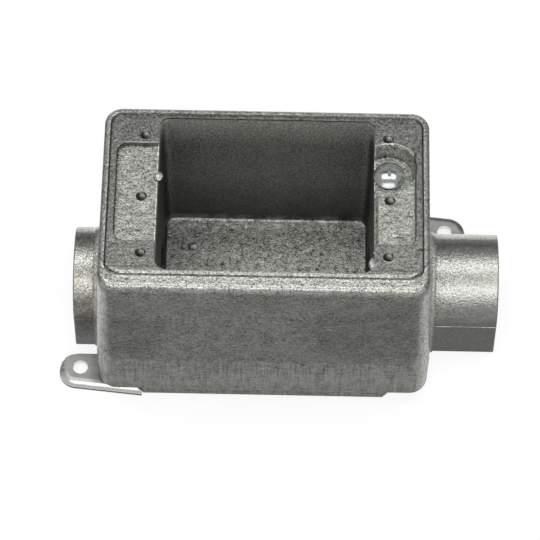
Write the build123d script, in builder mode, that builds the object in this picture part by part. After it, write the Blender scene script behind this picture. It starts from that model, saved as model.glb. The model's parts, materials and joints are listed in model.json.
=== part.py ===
from build123d import *
import os

# Cast-iron weatherproof device box with a threaded conduit hub in each end.
# The open face looks up (+Z) and the box lies on its back.
# X runs along the hubs, Y across the box, and the origin is the middle of the back pad.

# Outer casting
rim_length = 109.8
rim_width = 71.0
rim_height = 70.7
rim_corner = 6.0
rim_rounding = 1.6
flare_length = 2.1
flare_width = 1.9
parting_height = 17.6
base_taper = 0.9
base_end_taper = 0.4
base_corner = 6.0
base_rounding = 2.3

# Back: a raised pad between four shallow corner recesses
pad_height = 3.1
pad_length = 82.6
pad_draft = 1.9
pad_edge_inset = 0.7

# Rim lip and the ledge inside it
lip_side = 1.95
lip_front = 4.4
lip_rear = 2.1
lip_height = 0.95
lip_draft = 0.5
ledge_corner = 4.5
rise_start = 8.8
rise_end = 5.8
rise_height = 0.6

# Cavity
opening_length = 73.1
opening_width = 60.6
opening_offset = 0.1
core_offset = 1.8
opening_front_corner = 5.2
opening_rear_corner = 3.5
opening_bevel = 1.2
floor_height = 6.4
cavity_draft = 1.0
floor_rounding = 1.2

# Recesses in the ledge for the ears of the wiring device
ear_depth = 2.1
ear_reach = 50.1
ear_front = 16.8
ear_rear = 21.9
ear_corner = 3.3
ear_rounding = 0.45

# Tapped holes in the ledge
device_hole_spacing = 83.3
cover_hole_length = 82.1
cover_hole_width = 46.7
tapped_radius = 1.45
tapped_depth = 12.0
tapped_mouth = 0.45

# Round pocket and tapped hole for the grounding screw
pocket_x = 41.55
pocket_y = 13.8
pocket_top_radius = 9.5
pocket_floor_radius = 7.9
pocket_depth = 5.9
ground_thread_radius = 2.41
ground_thread_length = 9.5
ground_head_radius = 5.3
ground_head_height = 2.9
ground_head_edge = 0.7
ground_slot_width = 1.2
ground_slot_depth = 1.3
ground_cross_length = 3.4
thread_clearance = 0.04
hole_extra_depth = 2.5

# Conduit hubs
hub_radius = 17.3
hub_left_reach = 65.65
hub_right_reach = 80.25
hub_foot = 0.1
hub_foot_corner = 0.7
hub_end_rounding = 0.6
root_inside = 1.0
hub_root_steps = ((0.0, 2.6), (0.6, 1.6), (1.6, 0.6), (3.0, 0.0))
thread_radius = 12.2
thread_length = 19.0
thread_mouth = 1.1
bushing_radius = 10.3
bushing_length = 3.0
throat_radius = 12.6

# Steel mounting lugs under two opposite corners of the back
lug_thickness = 1.7
lug_beyond_rim = 8.5
lug_off_middle = 2.65
lug_shift = 1.15
lug_hole_radius = 2.6
lug_eye_radius = 6.1
lug_eye_offset_x = 1.15
lug_eye_offset_y = 0.72
lug_splay = 5.9
lug_wall_gap = 0.1
lug_tip_reach = 21.6
lug_edge_steps = ((180, 3.1, 2.8), (158, 2.5, 2.0), (136, 1.9, 1.1), (90, 1.7, 0.3))
lug_end_clearance = 0.4

# Screws that hold the lugs
lug_screw_radius = 2.0
lug_screw_length = 7.0
lug_screw_head_radius = 3.6
lug_screw_head_height = 1.2
lug_screw_slot_width = 1.0
lug_screw_slot_depth = 0.6
lug_screw_inside_lug = 13.1
lug_screw_behind_hole = 0.6
lug_hole_clearance = 0.2

# Derived positions
ledge_height = rim_height - lip_height
ear_height = ledge_height - ear_depth
pocket_height = ledge_height - pocket_depth
ledge_length = rim_length - 2 * lip_side
ledge_width = rim_width - lip_front - lip_rear
half_length = rim_length / 2
half_width = rim_width / 2
parting_length = rim_length + 2 * flare_length
parting_width = rim_width + 2 * flare_width
base_length = parting_length - 2 * base_end_taper
base_width = parting_width - 2 * base_taper
left_wall = opening_offset - opening_length / 2
right_wall = opening_offset + opening_length / 2
lug_x = half_length + lug_beyond_rim
lug_y = (hub_radius + half_width) / 2 + lug_off_middle
lug_screw_x = lug_x - lug_screw_inside_lug
lug_screw_y = lug_y + lug_screw_behind_hole
dome_rise = ground_head_height - ground_head_edge
dome_radius = (ground_head_radius**2 + dome_rise**2) / (2 * dome_rise)
dome_centre = ground_head_height - dome_radius
dome_middle = dome_centre + (dome_radius**2 - ground_head_radius**2 / 4) ** 0.5

os.makedirs("parts", exist_ok=True)


def hub_outline():
    """Half round above the parting plane, upright sides and a flat foot below it."""
    with BuildSketch(Plane.YZ, mode=Mode.PRIVATE) as outline:
        with BuildLine():
            Line((-hub_radius, hub_foot), (-hub_radius, parting_height))
            ThreePointArc(
                (-hub_radius, parting_height),
                (0, parting_height + hub_radius),
                (hub_radius, parting_height),
            )
            Line((hub_radius, parting_height), (hub_radius, hub_foot))
            Line((hub_radius, hub_foot), (-hub_radius, hub_foot))
        make_face()
        foot = outline.vertices().sort_by(Axis.Y)[:2]
        fillet(foot, hub_foot_corner)
    return outline.sketch


# Both hubs as one bar with rounded outer ends
with BuildPart() as hubs:
    extrude(
        hub_outline().moved(Location((hub_right_reach, 0, 0))),
        amount=-(hub_left_reach + hub_right_reach),
    )
    fillet(hubs.faces().sort_by(Axis.X)[0].edges(), hub_end_rounding)
    fillet(hubs.faces().sort_by(Axis.X)[-1].edges(), hub_end_rounding)

    # Spread root of each hub against the end wall
    for side in (-1, 1):
        for (near, wide), (far, narrow) in zip(hub_root_steps, hub_root_steps[1:]):
            roots = []
            for out, spread in ((near, wide), (far, narrow)):
                root_x = side * (half_length + out + root_inside)
                with BuildSketch(Plane.YZ.offset(root_x), mode=Mode.PRIVATE) as root:
                    with BuildLine():
                        Line((-hub_radius - spread, hub_foot), (-hub_radius - spread, parting_height))
                        ThreePointArc(
                            (-hub_radius - spread, parting_height),
                            (0, parting_height + hub_radius + spread),
                            (hub_radius + spread, parting_height),
                        )
                        Line((hub_radius + spread, parting_height), (hub_radius + spread, hub_foot))
                        Line((hub_radius + spread, hub_foot), (-hub_radius - spread, hub_foot))
                    make_face()
                roots.append(root.sketch.faces()[0])
            loft(roots, ruled=True)


def cavity_outline(height, length):
    """Cavity section at a height; its front corners are rounder than the rear ones."""
    with BuildSketch(Plane.XY.offset(height), mode=Mode.PRIVATE) as outline:
        with Locations((opening_offset, core_offset)):
            Rectangle(length, opening_width)
        corners = outline.vertices().group_by(Axis.Y)
        fillet(corners[0], opening_front_corner)
        corners = outline.vertices().sort_by(Axis.Y)[-2:]
        fillet(corners, opening_rear_corner)
    return outline.sketch


# Cavity with drafted ends and a rounded floor
with BuildPart() as cavity:
    loft(
        [
            cavity_outline(floor_height, opening_length - 2 * cavity_draft).faces()[0],
            cavity_outline(ledge_height, opening_length).faces()[0],
        ],
        ruled=True,
    )
    fillet(cavity.faces().sort_by(Axis.Z)[0].edges(), floor_rounding)
    extrude(cavity_outline(ledge_height, opening_length), amount=lip_height)


with BuildPart() as box:
    # Walls flare from the rim to the parting plane, then taper in to the back
    with BuildSketch(Plane.XY.offset(rim_height)):
        RectangleRounded(rim_length, rim_width, rim_corner)
    with BuildSketch(Plane.XY.offset(parting_height)):
        RectangleRounded(parting_length, parting_width, rim_corner + flare_width)
    loft(ruled=True)
    with BuildSketch(Plane.XY.offset(parting_height)):
        RectangleRounded(parting_length, parting_width, rim_corner + flare_width)
    with BuildSketch(Plane.XY.offset(pad_height)):
        RectangleRounded(base_length, base_width, base_corner)
    loft(ruled=True)
    fillet(box.faces().sort_by(Axis.Z)[-1].edges(), rim_rounding)
    fillet(box.faces().sort_by(Axis.Z)[0].edges(), base_rounding)

    # Raised pad across the middle of the back, with drafted ends
    with BuildSketch(Plane.XY):
        Rectangle(pad_length, base_width - 2 * pad_edge_inset)
    with BuildSketch(Plane.XY.offset(pad_height)):
        Rectangle(pad_length + 2 * pad_draft, base_width - 2 * pad_edge_inset)
    loft(ruled=True)
    with BuildSketch(Plane.XY.offset(pad_height)):
        Rectangle(pad_length + 2 * pad_draft, base_width - 2 * pad_edge_inset)
    extrude(amount=base_rounding + 1)

    # Hubs, one casting with the box
    add(hubs.part)

    # Ledge sunk inside the rim lip
    with BuildSketch(Plane.XY.offset(rim_height)):
        with Locations((0, (lip_front - lip_rear) / 2)):
            RectangleRounded(ledge_length, ledge_width, ledge_corner)
    with BuildSketch(Plane.XY.offset(ledge_height)):
        with Locations((0, (lip_front - lip_rear) / 2)):
            RectangleRounded(
                ledge_length - 2 * lip_draft,
                ledge_width - 2 * lip_draft,
                ledge_corner - lip_draft,
            )
    loft(ruled=True, mode=Mode.SUBTRACT)

    # Gentle rise of the ledge towards the front lip
    with BuildSketch(Plane.YZ.offset(-ledge_length / 2)):
        with BuildLine():
            Polyline(
                (rise_start - half_width, ledge_height),
                (rise_end - half_width, ledge_height + rise_height),
                (lip_front - half_width - lip_draft, ledge_height + rise_height),
                (lip_front - half_width - lip_draft, ledge_height - rise_height),
                (rise_start - half_width, ledge_height - rise_height),
                close=True,
            )
        make_face()
    extrude(amount=ledge_length)

    # The cavity opens through the ledge
    add(cavity.part, mode=Mode.SUBTRACT)

    # Shallow recesses for the device ears, open to the cavity
    with BuildSketch(Plane.XY.offset(ear_height)):
        for side, rear in ((-1, ear_rear), (1, pocket_y)):
            with Locations((side * ear_reach / 2, (rear - ear_front) / 2)):
                RectangleRounded(ear_reach, ear_front + rear, ear_corner)
    extrude(amount=ear_depth + 1, mode=Mode.SUBTRACT)

    # Bevel along the right end of the opening, between the ear recess and the cavity
    with BuildSketch(Plane.XZ.offset(-pocket_y)):
        with BuildLine():
            Polyline(
                (right_wall - ear_depth, ear_height),
                (right_wall + opening_bevel, ear_height),
                (right_wall, ear_height - opening_bevel),
                (right_wall - ear_depth, ear_height - opening_bevel),
                close=True,
            )
        make_face()
    extrude(amount=ear_front + pocket_y, mode=Mode.SUBTRACT)

    # Tapered round pocket for the grounding screw
    with BuildSketch(Plane.XY.offset(pocket_height)):
        with Locations((pocket_x, pocket_y)):
            Circle(pocket_floor_radius)
    with BuildSketch(Plane.XY.offset(ledge_height)):
        with Locations((pocket_x, pocket_y)):
            Circle(pocket_top_radius)
    loft(ruled=True, mode=Mode.SUBTRACT)

    # Softened upper edges of the ear recesses and the pocket
    level = [
        edge
        for edge in box.edges()
        if abs(edge.bounding_box().min.Z - ledge_height) < 0.001
        and abs(edge.bounding_box().max.Z - ledge_height) < 0.001
        and abs(edge.center().X) > opening_length / 2
        and abs(edge.center().X) < ear_reach + 1
        and -ear_front - 1 < edge.center().Y < ear_rear + 1
    ]
    fillet(level, ear_rounding)

    # Tapped holes: four for the cover, two for the device, one for the grounding screw
    with Locations((0, core_offset, ledge_height)):
        with GridLocations(cover_hole_length, cover_hole_width, 2, 2):
            Cylinder(
                tapped_radius,
                tapped_depth,
                align=(Align.CENTER, Align.CENTER, Align.MAX),
                mode=Mode.SUBTRACT,
            )
            Cone(
                tapped_radius,
                tapped_radius + tapped_mouth,
                tapped_mouth,
                align=(Align.CENTER, Align.CENTER, Align.MAX),
                mode=Mode.SUBTRACT,
            )
    with Locations((0, core_offset, ear_height)):
        with GridLocations(device_hole_spacing, 0, 2, 1):
            Cylinder(
                tapped_radius,
                tapped_depth,
                align=(Align.CENTER, Align.CENTER, Align.MAX),
                mode=Mode.SUBTRACT,
            )
            Cone(
                tapped_radius,
                tapped_radius + tapped_mouth,
                tapped_mouth,
                align=(Align.CENTER, Align.CENTER, Align.MAX),
                mode=Mode.SUBTRACT,
            )
    with Locations((pocket_x, pocket_y, pocket_height)):
        Cylinder(
            ground_thread_radius + thread_clearance,
            ground_thread_length + hole_extra_depth,
            align=(Align.CENTER, Align.CENTER, Align.MAX),
            mode=Mode.SUBTRACT,
        )

    # Hub bores: thread, rounded bushing, then a wider throat into the cavity
    for side, reach, wall in ((-1, hub_left_reach, left_wall), (1, hub_right_reach, right_wall)):
        seat = reach - thread_length
        inner = abs(wall) - cavity_draft
        with BuildSketch(Plane.XZ) as bore:
            with BuildLine():
                Polyline(
                    (side * (reach + 1), parting_height),
                    (side * (reach + 1), parting_height + thread_radius + thread_mouth + 1),
                    (side * (reach - thread_mouth), parting_height + thread_radius),
                    (side * seat, parting_height + thread_radius),
                    (side * seat, parting_height + bushing_radius),
                    (side * (seat - bushing_length), parting_height + bushing_radius),
                    (side * (seat - bushing_length), parting_height + throat_radius),
                    (side * (inner - 1), parting_height + throat_radius),
                    (side * (inner - 1), parting_height),
                    close=True,
                )
            make_face()
        revolve(axis=Axis((0, 0, parting_height), (1, 0, 0)), mode=Mode.SUBTRACT)

    # Blind holes in the corner recesses for the screws that hold the lugs
    with Locations(Plane.XY.offset(pad_height)):
        with Locations(
            (-lug_screw_x, lug_shift - lug_screw_y),
            (lug_screw_x, lug_shift + lug_screw_y),
        ):
            Cylinder(
                lug_screw_radius + thread_clearance,
                lug_screw_length,
                align=(Align.CENTER, Align.CENTER, Align.MIN),
                mode=Mode.SUBTRACT,
            )

box.part.label = "device_box"
export_step(box.part, "parts/device_box.step")


# Grounding screw: low domed head with a cross slot, threaded shank
with BuildPart() as ground_screw:
    with BuildSketch(Plane.XZ):
        with BuildLine():
            Polyline(
                (0, ground_head_height),
                (0, 0),
                (ground_head_radius, 0),
                (ground_head_radius, ground_head_edge),
            )
            ThreePointArc(
                (ground_head_radius, ground_head_edge),
                (ground_head_radius / 2, dome_middle),
                (0, ground_head_height),
            )
        make_face()
    revolve(axis=Axis.Z)
    with BuildSketch(Plane.XY.offset(ground_head_height)):
        Rectangle(2 * ground_head_radius + 1, ground_slot_width)
        Rectangle(ground_slot_width, ground_cross_length)
    extrude(amount=-ground_slot_depth, mode=Mode.SUBTRACT)
    with BuildSketch(Plane.XY):
        Circle(ground_thread_radius)
    extrude(amount=-ground_thread_length)
    chamfer(ground_screw.faces().sort_by(Axis.Z)[0].edges(), ground_thread_radius / 3)

ground_screw.part.label = "ground_screw"
export_step(
    ground_screw.part.moved(Location((pocket_x, pocket_y, pocket_height))),
    "parts/ground_screw.step",
)


# Mounting lug, stamped from sheet: a round eye and a tail with its outer edges rolled down
def lug_outline(height, inset, extra):
    """Plan outline with the hole at the origin, the tail to +X and the rolled edge to -Y."""
    eye = Vector(-lug_eye_offset_x, -lug_eye_offset_y)
    radius = lug_eye_radius - inset
    edge = Vector(1, 0).rotate(Axis.Z, -lug_splay)
    start = eye + edge.rotate(Axis.Z, -90) * radius
    tip = lug_tip_reach + extra
    end = start + edge * ((tip - start.X) / edge.X)
    rear = eye.Y + lug_eye_radius + extra
    with BuildSketch(Plane.XY.offset(height), mode=Mode.PRIVATE) as outline:
        with BuildLine():
            Line(start, end)
            Line(end, (tip, rear))
            Line((tip, rear), (eye.X, rear))
            if extra > 0:
                Line((eye.X, rear), (eye.X, eye.Y + radius))
            ThreePointArc((eye.X, eye.Y + radius), (eye.X - radius, eye.Y), start)
        make_face()
    return outline.sketch


def rolled_plate(low, high, inset, extra, roll):
    """Solid whose upper edge is rounded along the front line and round the eye."""
    with BuildPart(mode=Mode.PRIVATE) as plate:
        extrude(lug_outline(low, inset, extra), amount=high - low)
        if roll > 0:
            rim = plate.faces().sort_by(Axis.Z)[-1].edges()
            outer = rim.filter_by(GeomType.CIRCLE) + rim.filter_by(GeomType.LINE).sort_by(Axis.Y)[:1]
            fillet(outer, roll)
    return plate.part


def lug_sector(start, stop, drop, roll):
    """The part of the lug between two angles round its eye, its rim dropping by drop."""
    shell = rolled_plate(pad_height - drop, pad_height, 0, 0, roll)
    under = pad_height - lug_thickness
    if drop > lug_thickness:
        shell -= rolled_plate(pad_height - drop, under, lug_thickness, 1.0, max(roll - lug_thickness, 0))
    reach = 2 * lug_tip_reach
    turns = [start + (stop - start) * k / 4 for k in range(5)]
    fan = [Vector(reach, 0).rotate(Axis.Z, turn) for turn in turns]
    with BuildPart(mode=Mode.PRIVATE) as wedge:
        with BuildSketch():
            with Locations((-lug_eye_offset_x, -lug_eye_offset_y)):
                Polygon((0, 0), *[(corner.X, corner.Y) for corner in fan], align=None)
        extrude(amount=pad_height)
    return shell & wedge.part


pad_front = base_width / 2 - pad_edge_inset


def lug_solid(shift):
    """Lug with its hole at the origin; shift is how far its hole lies from the usual line."""
    stops = [360] + [step[0] for step in lug_edge_steps[:-1]]
    with BuildPart(mode=Mode.PRIVATE) as lug:
        for (start, drop, roll), stop in zip(lug_edge_steps, stops):
            add(lug_sector(start, stop, drop - lug_wall_gap, roll))
        add(lug_sector(0, lug_edge_steps[-1][0], lug_thickness, 0))
        with Locations((0, 0, pad_height)):
            Cylinder(lug_hole_radius, 3 * lug_thickness, mode=Mode.SUBTRACT)
        with Locations((lug_screw_inside_lug, -lug_screw_behind_hole, pad_height)):
            Cylinder(
                lug_screw_radius + lug_hole_clearance,
                3 * lug_thickness,
                mode=Mode.SUBTRACT,
            )
        pad_corner = (
            lug_x - pad_length / 2 - pad_draft - lug_end_clearance,
            lug_y - shift - pad_front - lug_end_clearance,
        )
        with Locations(pad_corner):
            Box(
                lug_tip_reach,
                2 * lug_tip_reach,
                3 * pad_height,
                align=(Align.MIN, Align.MIN, Align.CENTER),
                mode=Mode.SUBTRACT,
            )
    return lug.part


for name, side, turn in (("front_left_lug", -1, 0), ("rear_right_lug", 1, 180)):
    place = Location((side * lug_x, side * lug_y + lug_shift, 0), (0, 0, turn))
    piece = lug_solid(-side * lug_shift).moved(place)
    piece.label = name
    export_step(piece, "parts/" + name + ".step")


# Two slotted low-head screws driven up through the lugs into the back of the box
with BuildPart() as lug_screw:
    Cylinder(
        lug_screw_head_radius,
        lug_screw_head_height,
        align=(Align.CENTER, Align.CENTER, Align.MAX),
    )
    fillet(lug_screw.edges().sort_by(Axis.Z)[0], lug_screw_head_height / 3)
    Cylinder(
        lug_screw_radius,
        lug_screw_length,
        align=(Align.CENTER, Align.CENTER, Align.MIN),
    )
    chamfer(lug_screw.edges().sort_by(Axis.Z)[-1], lug_screw_radius / 4)
    with BuildSketch(Plane.XY.offset(-lug_screw_head_height)):
        Rectangle(2 * lug_screw_head_radius + 1, lug_screw_slot_width)
    extrude(amount=lug_screw_slot_depth, mode=Mode.SUBTRACT)

lug_screw_seat = pad_height - lug_thickness
with BuildPart() as lug_screws:
    with Locations(
        Location((-lug_screw_x, lug_shift - lug_screw_y, lug_screw_seat), (0, 0, 35)),
        Location((lug_screw_x, lug_shift + lug_screw_y, lug_screw_seat), (0, 0, 110)),
    ):
        add(lug_screw.part)

lug_screws.part.label = "lug_screws"
export_step(lug_screws.part, "parts/lug_screws.step")
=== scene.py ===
import json
import math
import random

import bmesh
import bpy
from mathutils import Matrix, Vector


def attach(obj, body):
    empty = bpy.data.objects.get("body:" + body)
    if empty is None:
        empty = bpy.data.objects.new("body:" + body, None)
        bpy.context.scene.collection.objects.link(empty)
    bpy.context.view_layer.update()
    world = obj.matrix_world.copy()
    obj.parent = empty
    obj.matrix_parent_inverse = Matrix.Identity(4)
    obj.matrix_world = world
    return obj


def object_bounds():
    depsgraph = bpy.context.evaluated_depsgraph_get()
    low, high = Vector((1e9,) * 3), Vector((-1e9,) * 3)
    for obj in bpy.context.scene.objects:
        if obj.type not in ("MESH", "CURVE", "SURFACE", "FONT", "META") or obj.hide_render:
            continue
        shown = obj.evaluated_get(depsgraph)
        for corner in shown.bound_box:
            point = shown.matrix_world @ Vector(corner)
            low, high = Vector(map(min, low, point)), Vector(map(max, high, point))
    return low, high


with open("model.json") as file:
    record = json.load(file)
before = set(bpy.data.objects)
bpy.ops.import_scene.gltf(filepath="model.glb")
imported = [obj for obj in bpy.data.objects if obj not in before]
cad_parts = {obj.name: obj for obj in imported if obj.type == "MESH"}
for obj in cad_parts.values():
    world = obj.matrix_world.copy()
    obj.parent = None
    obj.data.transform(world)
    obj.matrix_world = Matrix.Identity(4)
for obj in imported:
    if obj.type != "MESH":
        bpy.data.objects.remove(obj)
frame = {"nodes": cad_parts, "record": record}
start_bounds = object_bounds()
nodes = frame["nodes"]


# Casting: malleable iron poured in a sand mould, box and hubs in one, with a fine sand
# grain. The ledge is machined and the lower walls are ground. Its thin grey zinc coat is
# stained brown on the left hub, and its upright edges carry a painted highlight.
class Wire:
    """A node's output that can be used in Python sums."""

    def __init__(self, graph, socket):
        self.graph = graph
        self.socket = socket

    def math(self, operation, a, b=0.0, clamp=False):
        settings = {"operation": operation, "use_clamp": clamp}
        return self.graph.node("ShaderNodeMath", settings, {0: a, 1: b})

    def __add__(self, other):
        return self.math("ADD", self, other)

    def __radd__(self, other):
        return self.math("ADD", other, self)

    def __sub__(self, other):
        return self.math("SUBTRACT", self, other)

    def __rsub__(self, other):
        return self.math("SUBTRACT", other, self)

    def __mul__(self, other):
        return self.math("MULTIPLY", self, other)

    def __rmul__(self, other):
        return self.math("MULTIPLY", other, self)

    def __abs__(self):
        return self.math("ABSOLUTE", self)

    def clip(self):
        return self.math("ADD", self, 0.0, clamp=True)

    def most(self, other):
        return self.math("MAXIMUM", self, other)

    def above(self, edge, soft):
        """0 below edge, 1 above it, over a soft step."""
        return ((self - (edge - soft / 2)) * (1 / soft)).clip()

    def below(self, edge, soft):
        return 1 - self.above(edge, soft)

    def between(self, low, high, soft):
        return self.above(low, soft) * self.below(high, soft)


class Graph:
    """The nodes of one material or world."""

    def __init__(self, tree):
        self.tree = tree

    def node(self, kind, settings, values, out=0):
        """Adds a node: its settings are set first, then its sockets by name or number."""
        node = self.tree.nodes.new(kind)
        for key, value in settings.items():
            setattr(node, key, value)
        self.feed(node, values)
        return Wire(self, node.outputs[out])

    def feed(self, node, values):
        """Links a node's sockets or sets their values."""
        for key, value in values.items():
            slot = node.inputs[key]
            if isinstance(value, Wire):
                self.tree.links.new(value.socket, slot)
            elif slot.type == "RGBA":
                slot.default_value = (*value, 1.0)
            else:
                slot.default_value = value


class Finish(Graph):
    """A material built from plain sums; places are in mm in the frame of the part."""

    def __init__(self, name, metallic=0.0):
        self.material = bpy.data.materials.new(name)
        self.material.use_nodes = True
        super().__init__(self.material.node_tree)
        self.shader = self.tree.nodes["Principled BSDF"]
        self.feed(self.shader, {"Metallic": metallic})
        place = self.node("ShaderNodeTexCoord", {}, {}, out="Object")
        self.at = self.vector("SCALE", {0: place, "Scale": 1000.0})
        self.x, self.y, self.z = self.parts(self.at)
        facing = self.node("ShaderNodeNewGeometry", {}, {}, out="Normal")
        self.nx, self.ny, self.nz = self.parts(facing)

    def vector(self, operation, values):
        return self.node("ShaderNodeVectorMath", {"operation": operation}, values)

    def parts(self, wire):
        return [self.node("ShaderNodeSeparateXYZ", {}, {0: wire}, out=k) for k in range(3)]

    def noise(self, size, detail=3.0, roughness=0.55, stretch=(1, 1, 1), shift=0.0):
        """Cloudy noise from 0 to 1 with features about size mm across."""
        at = self.vector("MULTIPLY", {0: self.at, 1: stretch})
        at = self.vector("ADD", {0: at, 1: (shift, shift * 0.7, -shift)})
        values = {"Vector": at, "Scale": 1.0 / size, "Detail": detail, "Roughness": roughness}
        return self.node("ShaderNodeTexNoise", {}, values)

    def swing(self, size, **how):
        """The same noise from -1 to 1."""
        return (self.noise(size, **how) - 0.5) * 2

    def pits(self, size, shift):
        """Distance to the nearest of scattered points, in cells of size mm."""
        at = self.vector("ADD", {0: self.at, 1: (shift, -shift, shift * 0.5)})
        return self.node("ShaderNodeTexVoronoi", {}, {"Vector": at, "Scale": 1.0 / size})

    def blend(self, factor, a, b, kind="MIX"):
        """Colour a where factor is 0 and b, or a times b, where it is 1."""
        settings = {"data_type": "RGBA", "blend_type": kind}
        return self.node("ShaderNodeMix", settings, {0: factor, 6: a, 7: b}, out=2)

    def paint(self, color, roughness, height, depth):
        """Links the results: height is in units of depth mm."""
        bump = self.node("ShaderNodeBump", {}, {"Height": height, "Distance": depth / 1000})
        self.feed(self.shader, {"Base Color": color, "Roughness": roughness, "Normal": bump})


def ellipse(across, along, wide=1.0, high=1.0):
    """Squared distance from a middle: 1 on an ellipse with these half sizes."""
    across, along = across * (1 / wide), along * (1 / high)
    return across * across + along * along


def dress(name, finish):
    """Gives a CAD piece its finish."""
    nodes[name].data.materials.clear()
    nodes[name].data.materials.append(finish.material)


# Sizes of the casting in mm, from its mounts and from the part
mounts = {mount["name"]: mount for mount in frame["record"]["mounts"]}
parting_height = 1000 * mounts["left_hub"]["pos_m"][2]
ledge_height = 1000 * mounts["cover_holes"]["pos_m"][2]
ear_height = 1000 * mounts["device_holes"]["pos_m"][2]
ear_reach = 50.1
hub_radius = 17.3
wall_end = 57.0
floor_height = 6.4
opening_x, opening_y = 0.1, 1.8
opening_length, opening_width = 73.1, 60.6
pocket_x, pocket_y = 41.55, 13.8
screw_holes = []
for name, rows in (("cover_holes", (1, -1)), ("device_holes", (0,))):
    dims = mounts[name]["dims"]
    middle_y, top = (1000 * metres for metres in mounts[name]["pos_m"][1:])
    for row in rows:
        hole_y = middle_y + row * dims.get("spacing_y_mm", 0) / 2
        for side in (-1, 1):
            screw_holes.append((side * dims["spacing_x_mm"] / 2, hole_y, top))

iron = Finish("cast iron", metallic=1.0)
# Noise of several sizes, each swinging about zero
grain = iron.swing(1.0, roughness=0.6)
sand = iron.swing(0.5, detail=2.0, shift=7.0)
broad = iron.swing(14.0, detail=4.0, shift=31.0)
patch = iron.swing(4.5, shift=3.0)
ripple = iron.swing(0.9, stretch=(0.35, 1.0, 1.0), shift=23.0)
dash = iron.swing(0.8, stretch=(0.25, 1.0, 1.3), shift=41.0)
crinkle = iron.swing(1.7, detail=4.0, roughness=0.65, shift=53.0)
streaks = iron.swing(0.7, stretch=(1.0, 1.0, 0.06), shift=11.0)
speck = iron.pits(1.5, 5.0).below(0.2, 0.2)

# Where each kind of surface lies
flat = iron.nz.above(0.95, 0.06)
ledge = flat * iron.z.between(ledge_height - 0.25, ledge_height + 0.65, 0.1)
ear_floor = flat * iron.z.between(ear_height - 0.35, ear_height + 0.35, 0.1)
lip = iron.z.above(ledge_height + 0.67, 0.16)
inside = abs(iron.x - opening_x).below(opening_length / 2 + 0.15, 0.3)
inside = inside * abs(iron.y - opening_y).below(opening_width / 2 + 0.2, 0.3)
inside = inside * iron.z.below(ledge_height - 0.55, 0.4)
floor_area = inside * iron.nz.above(0.7, 0.3)
walls = inside * (1 - floor_area)
side_wall = walls * abs(iron.nx).above(0.6, 0.3)
# painted highlight along the foot of the inner walls
corner = walls * iron.z.below(floor_height + 1.8, 1.6)
hub_top = parting_height + hub_radius + 2.1
hub = abs(iron.x).above(wall_end - 0.8, 0.8) * iron.z.below(hub_top, 1.0)
outside = (1 - inside) * (1 - ledge) * (1 - ear_floor) * (1 - lip) * (1 - hub)

# Outer walls: a painted highlight on the upright edges and along the top of the front,
# the lower part ground with upright streaks, and dull patches
edge = abs(iron.nx).above(0.64, 0.55) * abs(iron.ny).above(0.1, 0.2) * iron.z.below(66.0, 3.0)
edge = edge * outside
front_rim_highlight = outside * iron.z.above(68.4, 3.4) * iron.y.below(-33.5, 1.0) * (1 - flat)
ground_edge = iron.z + iron.noise(3.0, detail=4.0, stretch=(1.0, 1.0, 0.1)) * 4 - 2
ground = ground_edge.below(25.0, 1.6) * abs(iron.ny).above(0.7, 0.2) * outside
foot = ground_edge.below(8.0, 4.0) * outside
dull = 0
for x, z, wide, high in ((37.0, 44.0, 24.0, 20.0), (-47.0, 40.0, 13.0, 17.0)):
    dull = dull + (ellipse(iron.x - x, iron.z - z, wide, high) + patch * 0.4).below(0.8, 1.0)
dull = dull * outside * (1 - iron.nz.above(0.5, 0.2)) * (1 - ground)

# The front of the ledge climbs to the lip: a painted highlight on the slope with a brighter
# painted highlight line on it, a painted shadow line in the seam and a painted highlight
# on the lip's inner edge
bend = (abs(iron.x) - 47.0).most(0.0)
front = iron.y + patch * 0.12 - bend * bend * 0.12
raised = iron.z.above(ledge_height + 0.15, 0.2)
slope_highlight = iron.z.above(ledge_height + 0.1, 0.2) * front.between(-29.75, -26.9, 1.6)
glint = raised * front.between(-29.75, -28.75, 0.7)
seam_shade = raised * front.between(-30.75, -30.1, 0.35)
crest_highlight = iron.z.above(ledge_height + 0.45, 0.2) * front.between(-32.2, -31.1, 0.5)

# Painted shade darkens the walls of the recesses, the seams beside the lip and the walls of the
# holes
recess_shade = abs(iron.x).between(ear_reach - 0.4, ear_reach + 0.4, 0.25)
recess_shade = recess_shade * iron.y.between(-13.5, 19.5, 1.0) * iron.z.above(ear_height + 0.1, 0.2)
seam_shade = seam_shade.most(ledge * abs(iron.x).between(52.2, 53.1, 0.3) * 0.7).most(recess_shade * 1.2)
holes = 0
right_holes = screw_holes[1::2]
for x, y, _ in right_holes:
    holes = holes + ellipse(abs(iron.x) - x, iron.y - y).below(3.0, 0.6)
holes = holes.clip() * iron.z.between(55.0, ledge_height - 0.1, 0.1) * (1 - flat)

# Knocks and scratches, and painted shadows of the floor grains: middle, half sizes and
# how much lighter or darker each is
marks_and_shadows = 0
for x, y, wide, high, shift in (
    (51.9, -18.7, 0.9, 0.45, -0.6),
    (51.4, -17.7, 1.2, 0.30, 0.6),
    (45.7, 31.8, 0.5, 0.35, -0.7),
    (49.5, 25.6, 2.6, 0.25, 0.5),
    (-50.5, -17.1, 2.4, 0.28, 0.45),
    (44.9, -12.7, 1.5, 0.35, -0.7),
    (43.4, -11.9, 1.3, 0.40, 0.5),
    (40.4, -29.1, 0.9, 1.20, 0.35),
    # painted shadows on the floor in front of three of the floor grains
    (-26.0, 19.1, 1.9, 0.50, -0.7),
    (-34.5, 23.6, 1.2, 0.35, -0.6),
    (-24.6, 24.2, 1.0, 0.35, -0.5),
):
    mark = ellipse(iron.x - x, iron.y - y + patch * 0.3, wide, high).below(1.0, 0.9)
    marks_and_shadows = marks_and_shadows + mark * shift
marks_and_shadows = marks_and_shadows * iron.nz.above(0.8, 0.2) + 1
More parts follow.
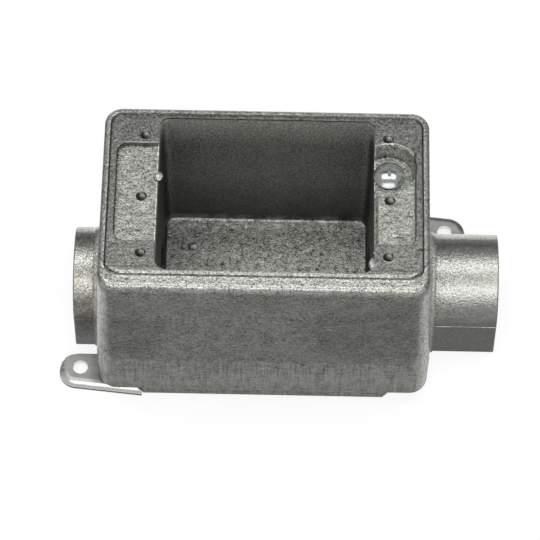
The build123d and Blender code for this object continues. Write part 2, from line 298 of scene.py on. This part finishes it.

# Hubs: painted highlights on the crown, the upper front and the rear flank, a band of
# painted shade between them, a painted highlight at the root and a brown stain
crown_highlight = iron.nz.above(0.15, 0.35) * iron.ny.below(0.2, 0.3)
# painted highlight on the upper front of the hubs
middle = iron.nz.between(0.5, 0.94, 0.24) * iron.ny.below(0.0, 0.3)
flank_highlight = iron.ny.above(0.62, 0.25) * iron.nz.above(0.42, 0.2)
shade_band = iron.ny.between(0.25, 0.6, 0.12) * iron.nz.above(0.5, 0.2)
# painted highlight with bright specks where the hubs meet the walls
root = hub * abs(iron.x).below(wall_end + 1.3, 0.8) * iron.ny.below(0.3, 0.3)
left_low = hub * iron.x.below(0.0, 1.0) * iron.z.below(26.0, 16.0)
stain = iron.noise(1.4, detail=4.0, shift=17.0).above(0.52, 0.16) * iron.z.between(12.0, 33.0, 6.0)
stain = stain * hub * iron.x.below(0.0, 1.0)

# Inside: painted shade darkens the walls downwards, the side walls most, and the floor is
# painted lighter towards the rear and the right; the pocket, the bevel of the opening's
# right end and the rear edge of the floor carry painted highlights
wall_shade_base = 0.07 + iron.z.above(20.0, 24.0) * 0.2 + iron.z.above(61.0, 14.0) * 0.26
wall_shade_base = wall_shade_base * (1 - side_wall * iron.z.below(63.0, 8.0) * 0.72)
floor_painted_light = 0.262 + (iron.y - 24.0) * 0.002 + iron.x * 0.0012 + iron.y.above(26.0, 4.0) * 0.045
pocket = ellipse(iron.x - pocket_x, iron.y - pocket_y).between(52.0, 98.0, 4.0)
pocket = pocket * iron.z.between(64.2, ledge_height - 0.15, 0.4) * (1 - iron.nz.above(0.9, 0.1))
pocket = pocket * (1 + iron.z.above(68.6, 0.8) * 0.9)
bevel_highlight = iron.nx.below(-0.4, 0.2) * iron.nz.above(0.4, 0.2)
bevel_highlight = bevel_highlight * iron.x.between(36.5, 39.5, 0.2) * iron.z.above(64.0, 0.5)
sill_highlight = inside * iron.y.above(27.9, 0.8) * iron.z.between(5.0, 9.0, 1.0)
sill_highlight = sill_highlight * (patch * 1.6 + 0.65 - iron.x * 0.012).clip()

# Lightness of each surface, the painted highlights and painted shade above added in, then its
# grain
base = outside * (0.125 + broad * 0.02 + ground * 0.03 + edge * 0.29 + front_rim_highlight * 0.18)
base = base - outside * (dull * 0.028 + foot * 0.018)
base = base + hub * (0.080 + crown_highlight * 0.1 + middle * 0.055 + flank_highlight * 0.50)
base = base + hub * (broad * 0.015 - shade_band * 0.038)
base = base + left_low * 0.025 + root * (0.1 + speck * 0.2)
base = base + pocket * 0.22 + bevel_highlight * 0.18 + sill_highlight * 0.14
base = base + ledge * (0.109 - iron.y * 0.0003 + slope_highlight * 0.12 + glint * 0.28)
base = base + ear_floor * 0.182
# painted highlights on the lip's inner edge and on its front
base = base + lip * (0.175 + crest_highlight * 0.07 + iron.y.below(-32.6, 0.8) * 0.035)
base = base + walls * wall_shade_base + floor_area * floor_painted_light + corner * 0.02
base = base * (1 - holes * 0.35) * (1 - seam_shade * 0.55) * marks_and_shadows * (1 - stain * 0.2)
smooth = hub * (0.4 + abs(iron.x).above(70.0, 12.0) * 0.35)
texture = 1 + (grain * 0.9 + sand * 1.3) * (1 - smooth - ground * 0.35)
texture = texture + patch * 0.2 - speck * 0.3 + outside * (dash * 0.7 + patch * 0.2)
texture = texture + ear_floor * ripple * 0.8 + ledge * ripple * 0.3
texture = texture + floor_area * crinkle * 1.3 + ground * streaks * 0.8
shade = (base * texture).most(0.004)
tint = iron.blend(iron.noise(14.0, shift=31.0), (1.0, 0.99, 0.91), (0.96, 1.0, 0.92))
tint = iron.blend(ground * 0.6, tint, (0.98, 1.0, 0.88))
tint = iron.blend(dull * 0.5, tint, (1.0, 0.95, 0.90))
tint = iron.blend(stain * 0.8, tint, (1.0, 0.86, 0.66))
color = iron.blend(1.0, tint, shade, kind="MULTIPLY")
rough = 0.34 + grain * 0.08 - hub * 0.1 - ledge * 0.02 + ear_floor * 0.1 + inside * 0.2
height = grain * 0.3 + sand * 0.3 - speck * 0.2
height = height * (1 - ledge * 0.6) * (1 - lip * 0.3) * (1 - hub * 0.3)
iron.paint(color, rough, height, 0.3)
dress("device_box", iron)


# Threads: conduit threads cut in both hubs and fine threads tapped in the six screw holes
# of the ledge. Each is a helical ridge that stands on the drilled wall of the casting,
# straight, and faded out at both ends.
def add_mesh(name, points, faces, finish):
    """Object made of points in mm, with a finish."""
    mesh = bpy.data.meshes.new(name)
    mesh.from_pydata([Vector(point) / 1000 for point in points], [], faces)
    made = bpy.data.objects.new(name, mesh)
    bpy.context.scene.collection.objects.link(made)
    made.data.materials.append(finish.material)
    return made


def thread(mouth, inward, radius, size, steps):
    """Points and faces of a ridge with so many steps a turn; inward points down the hole."""
    pitch, depth, length = size
    inward = Vector(inward).normalized()
    side = inward.orthogonal().normalized()
    other = inward.cross(side)
    rows = int(length / pitch * steps)
    points, faces = [], []
    for row in range(rows + 1):
        turn = row / steps
        angle = 2 * math.pi * turn
        out = side * math.cos(angle) + other * math.sin(angle)
        fade = min(1.0, turn * 2, (rows - row) / steps * 2)
        for offset, crest_share in ((-0.48, 0.0), (-0.06, 1.0), (0.06, 1.0), (0.48, 0.0)):
            along = (turn + 0.5 + offset) * pitch
            reach = radius - depth * crest_share * fade
            points.append(Vector(mouth) + inward * along + out * reach)
        if row:
            a = 4 * row
            for k in range(3):
                faces.append((a + k, a + k + 1, a + k - 3, a + k - 4))
    return points, faces


cut = Finish("cut iron thread", metallic=0.8)
wear = cut.noise(1.2)
cut_color = cut.blend(wear, (0.22, 0.22, 0.21), (0.42, 0.42, 0.40))
cut.paint(cut_color, 0.32 + wear * 0.15, wear, 0.05)
# Pitch, depth and length of the thread, and how far in it starts
conduit_thread = (1.814, 0.95, 16.6)
conduit_inset = 0.2
for name in ("left_hub", "right_hub"):
    mount = mounts[name]
    outward = Vector(mount["axis"])
    to_mouth = mount["dims"]["length_mm"] / 2 - conduit_inset
    mouth = Vector(mount["pos_m"]) * 1000 + outward * to_mouth
    ridge = thread(mouth, -outward, mount["dims"]["r_mm"], conduit_thread, steps=64)
    made = add_mesh(name + "_thread", *ridge, cut)
    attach(made, "root")

tapped = Finish("tapped hole", metallic=0.8)
# Painted light and shade: the thread is light where it faces left, on the right side of each hole,
# and dark elsewhere
painted_lit_side = tapped.nx.below(0.15, 0.9)
tapped_color = tapped.blend(painted_lit_side, (0.05, 0.05, 0.046), (0.42, 0.42, 0.39))
tapped.paint(tapped_color, 0.45 + painted_lit_side * 0.05, painted_lit_side, 0.02)
screw_thread = (0.794, 0.28, 9.5)
screw_inset = 0.3
screw_radius = mounts["cover_holes"]["dims"]["hole_r_mm"]
for k, (x, y, top) in enumerate(screw_holes):
    mouth = (x, y, top - screw_inset)
    ridge = thread(mouth, (0, 0, -1), screw_radius, screw_thread, steps=24)
    made = add_mesh(f"screw_hole_thread_{k + 1}", *ridge, tapped)
    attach(made, "root")


# Flash and lumps: thin iron that ran into the joint of the mould along both hubs, a burr
# at the mouth of the box, two lumps in its front right corner and grains on its floor. All
# are part of the casting and are sunk into it.
bright = Finish("rubbed iron", metallic=1.0)
rub = bright.noise(0.8)
bright_color = bright.blend(rub, (0.12, 0.12, 0.11), (0.42, 0.42, 0.40))
bright.paint(bright_color, 0.4 + rub * 0.1, rub, 0.05)
dice = random.Random(4)
flash_step = 0.35
for name, start, end, full in (
    ("left_hub_flash", -57.0, -65.4, 0.3),
    ("right_hub_flash", 57.3, 79.9, 1.0),
):
    rows = int(abs(end - start) / flash_step)
    points, faces = [], []
    level = 0.5
    for row in range(rows + 1):
        x = start + (end - start) * row / rows
        level = min(1.0, max(0.45, level + dice.uniform(-0.3, 0.3)))
        near_root = math.exp(-abs(x - start) / 1.6)
        high = full * (0.14 * level + 0.3 * near_root * level)
        half = full * (0.06 + 0.10 * level + 0.5 * near_root)
        sunk, tip = hub_radius - 0.1, hub_radius - 0.01 + high
        for side in (-1, 1):
            for reach, lift in ((sunk, half), (tip, 0.0), (sunk, -half)):
                points.append((x, side * reach, parting_height + lift))
        if row:
            a = 6 * row
            for k in (0, 1, 3, 4):
                faces.append((a + k, a + k + 1, a + k - 5, a + k - 6))
    made = add_mesh(name, points, faces, bright)
    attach(made, "root")

ball = bmesh.new()
bmesh.ops.create_icosphere(ball, subdivisions=3, radius=1.0)
ball.verts.index_update()
ball_points = [point.co.copy() for point in ball.verts]
ball_faces = [[point.index for point in face.verts] for face in ball.faces]
ball.free()
for name, place, size in (
    ("mouth_burr", (-36.1, 9.3, 68.2), (1.6, 1.7, 1.1)),
    ("corner_flash_1", (36.7, -23.4, 67.4), (2.2, 2.9, 1.5)),
    ("corner_flash_2", (36.9, -19.4, 68.3), (0.8, 0.6, 0.6)),
    ("floor_grain_1", (-25.6, 20.2, 6.3), (1.8, 1.3, 0.8)),
    ("floor_grain_2", (-24.3, 25.0, 6.3), (0.9, 0.7, 0.6)),
    ("floor_grain_3", (-34.1, 20.5, 6.3), (0.5, 0.4, 0.4)),
    ("floor_grain_4", (-34.3, 24.6, 6.3), (1.0, 0.7, 0.5)),
):
    points = []
    for point in ball_points:
        push = 1 + dice.uniform(-0.07, 0.07)
        points.append([p + c * r * push for p, c, r in zip(place, point, size)])
    made = add_mesh(name, points, ball_faces, bright)
    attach(made, "root")


# Screws: the grounding screw in its pocket and the two screws that hold the lugs. Headed
# and threaded steel, bright zinc with a faint green-blue tint.
zinc = Finish("bright zinc", metallic=0.95)
cloud = zinc.noise(2.2)
fine = zinc.noise(0.3, detail=2.0, shift=9.0)
zinc_color = zinc.blend(cloud, (0.15, 0.16, 0.158), (0.29, 0.305, 0.30))
zinc_rough = 0.14 + (fine - 0.5) * 0.10 + cloud * 0.06
zinc.paint(zinc_color, zinc_rough, cloud * 0.6 + fine * 0.4, 0.05)
for name in ("ground_screw", "lug_screws"):
    dress(name, zinc)


# Mounting lugs: one stamping used twice, steel sheet with its edge rolled down towards the
# wall. Dull zinc on the flat, with a painted highlight where the roll faces the front, which
# is also smoother; painted shade on the roll facing the rear and at its foot, and a painted
# shadow on the flat next to the box.
sheet = Finish("dull zinc sheet", metallic=1.0)
cloud = sheet.swing(3.0, detail=4.0)
fine = sheet.swing(0.4, shift=5.0)
polish_and_highlight = sheet.nz.below(0.93, 0.2) * sheet.ny.below(-0.25, 0.4)
far_roll_shade = sheet.nz.below(0.985, 0.06) * sheet.ny.above(0.0, 0.3) * sheet.x.above(0.0, 1.0)
roll_foot_shade = sheet.z.below(0.9, 0.4)
box_shadow = sheet.x.between(-58.5, 0.0, 4.0) * sheet.nz.above(0.9, 0.1)
value = 0.18 + cloud * 0.05 + polish_and_highlight * (0.23 + sheet.nz.below(0.3, 0.3) * 0.3)
value = value - roll_foot_shade * 0.64 - far_roll_shade * 0.12
value = value.most(0.03) * (1 - box_shadow * 0.5)
sheet_color = sheet.blend(value, (0, 0, 0), (1.0, 0.99, 0.95))
sheet.paint(sheet_color, 0.42 - polish_and_highlight * 0.14 + fine * 0.1, cloud * 0.5 + fine * 0.5, 0.05)
for name in ("front_left_lug", "rear_right_lug"):
    dress(name, sheet)


# Stage: a white table and backdrop with large soft lights overhead, in front and low
# behind. Table and world are white to the camera, in reflections and through glass, and
# the table keeps a faint shadow.
def plain_rays(graph):
    """1 for rays from the camera, in reflections and through glass, 0 for the rest."""
    rays = graph.node("ShaderNodeLightPath", {}, {}, out="Is Camera Ray")
    for kind in ("Is Glossy Ray", "Is Transmission Ray"):
        rays = rays.most(graph.node("ShaderNodeLightPath", {}, {}, out=kind))
    return rays


paper = Finish("white table")
paper_grain = paper.noise(40.0)
paper_color = paper.blend(paper_grain, (0.90, 0.90, 0.90), (0.92, 0.92, 0.92))
paper.paint(paper_color, 0.9, paper_grain, 0.02)
lit_paper = Wire(paper, paper.shader.outputs[0])
glow = paper.node("ShaderNodeEmission", {}, {"Strength": 1.0})
glow_share = plain_rays(paper) * 0.85
both = paper.node("ShaderNodeMixShader", {}, {0: glow_share, 1: lit_paper, 2: glow})
paper.feed(paper.tree.nodes["Material Output"], {0: both})
table_half = 4000
corners = [(x * table_half, y * table_half, 0) for x, y in ((-1, -1), (1, -1), (1, 1), (-1, 1))]
table = add_mesh("table", corners, [(0, 1, 2, 3)], paper)

for name, place, width, depth, power in (
    ("overhead light", (0.0, 0.26, 1.63), 2.1, 0.72, 25.0),
    ("front light", (0.0, -1.15, 1.18), 1.9, 1.0, 20.0),
    ("rear light", (0.0, 1.6, 0.08), 2.0, 0.14, 6.0),
):
    light = bpy.data.lights.new(name, "AREA")
    light.shape = "RECTANGLE"
    light.size = width
    light.size_y = depth
    light.energy = power
    lamp = bpy.data.objects.new(name, light)
    lamp.location = place
    aim = Vector((0, 0, 0.03)) - Vector(place)
    lamp.rotation_euler = aim.to_track_quat("-Z", "Y").to_euler()
    bpy.context.scene.collection.objects.link(lamp)

world = bpy.data.worlds.new("studio")
bpy.context.scene.world = world
world.use_nodes = True
studio = Graph(world.node_tree)
background = world.node_tree.nodes["Background"]
studio.feed(background, {"Color": (0.96, 0.98, 1.0), "Strength": 0.3})
sky = Wire(studio, background.outputs[0])
white = studio.node("ShaderNodeBackground", {}, {"Color": (1, 1, 1), "Strength": 1.0})
both = studio.node("ShaderNodeMixShader", {}, {0: plain_rays(studio), 1: sky, 2: white})
studio.feed(world.node_tree.nodes["World Output"], {0: both})

# Camera: in front of the box, 58 degrees up, with a long lens
rise, swing, roll = math.radians(58.425), math.radians(-0.787), math.radians(0.43)
target, distance = Vector((-0.00015, 0.0013, 0.0329)), 1.11677
forward = Vector(
    (math.sin(swing) * math.cos(rise), math.cos(swing) * math.cos(rise), -math.sin(rise))
)
right = Vector((math.cos(swing), -math.sin(swing), 0))
up = right.cross(forward)
picture_right = right * math.cos(roll) + up * math.sin(roll)
picture_up = up * math.cos(roll) - right * math.sin(roll)
lens = bpy.data.cameras.new("camera")
lens.sensor_width = 36
lens.lens = 216.54
lens.shift_x = 0.0100
lens.shift_y = -0.0298
lens.clip_start = 0.05
lens.clip_end = 20
camera = bpy.data.objects.new("camera", lens)
turn = Matrix((picture_right, picture_up, -forward)).transposed().to_4x4()
camera.matrix_world = Matrix.Translation(target - forward * distance) @ turn
bpy.context.scene.collection.objects.link(camera)
bpy.context.scene.camera = camera
bpy.context.scene.view_settings.view_transform = "Standard"

low, high = start_bounds
